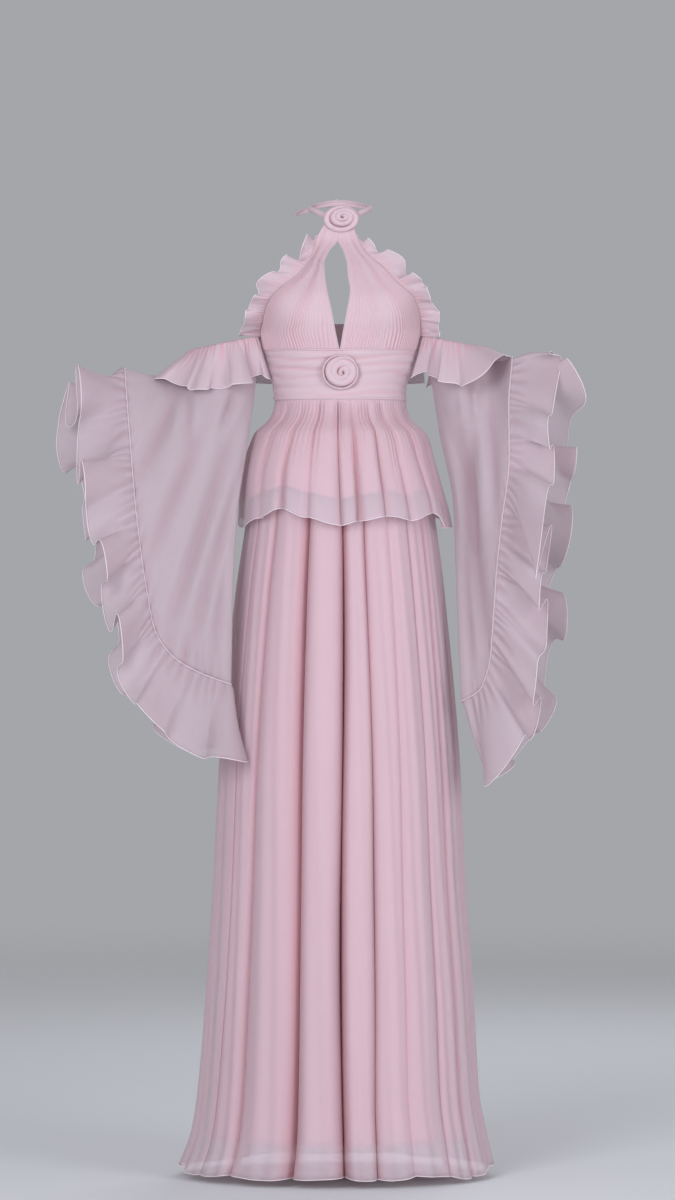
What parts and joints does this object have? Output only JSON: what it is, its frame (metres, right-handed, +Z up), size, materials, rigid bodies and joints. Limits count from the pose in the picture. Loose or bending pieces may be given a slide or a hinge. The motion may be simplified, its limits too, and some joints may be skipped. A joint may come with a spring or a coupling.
{
  "type": "chiffon gown",
  "caption": "Worn-form floor-length halter gown with a keyhole front, cloth rosettes, a peplum over a lined gathered skirt and wide ruffled wing sleeves.",
  "frame": {"origin": "middle of the neck loop, where the wearer's neck holds the gown", "axes": "+Z up, -Y the front of the gown, +X the right side as seen from the front"},
  "size_m": [0.8547, 0.4438, 1.6025],
  "materials": {
    "chiffon": "soft matte chiffon over lining, pale dusty pink",
    "sheer_chiffon": "single layer of sheer matte chiffon, pale dusty pink",
    "lining": "opaque smooth lining, warmer pink"
  },
  "bodies": {
    "root": {"neck_strap": "chiffon", "neck_knot": "chiffon", "tie_end_left": "chiffon", "tie_end_right": "chiffon", "rosette_neck": "chiffon", "rosette_waist": "chiffon", "bodice_front_left": "chiffon", "bodice_front_right": "chiffon", "bodice_back": "chiffon", "waistband": "chiffon", "peplum": "sheer_chiffon", "peplum_lining": "lining", "skirt": "sheer_chiffon", "skirt_lining": "lining", "armhole_frill_left": "sheer_chiffon", "armhole_frill_right": "sheer_chiffon", "arm_ruffle_left": "sheer_chiffon", "arm_ruffle_right": "sheer_chiffon", "back_ruffle": "sheer_chiffon", "sleeve_left": "sheer_chiffon", "sleeve_right": "sheer_chiffon", "sleeve_ruffle_left": "sheer_chiffon", "sleeve_ruffle_right": "sheer_chiffon"}
  },
  "joints": []
}
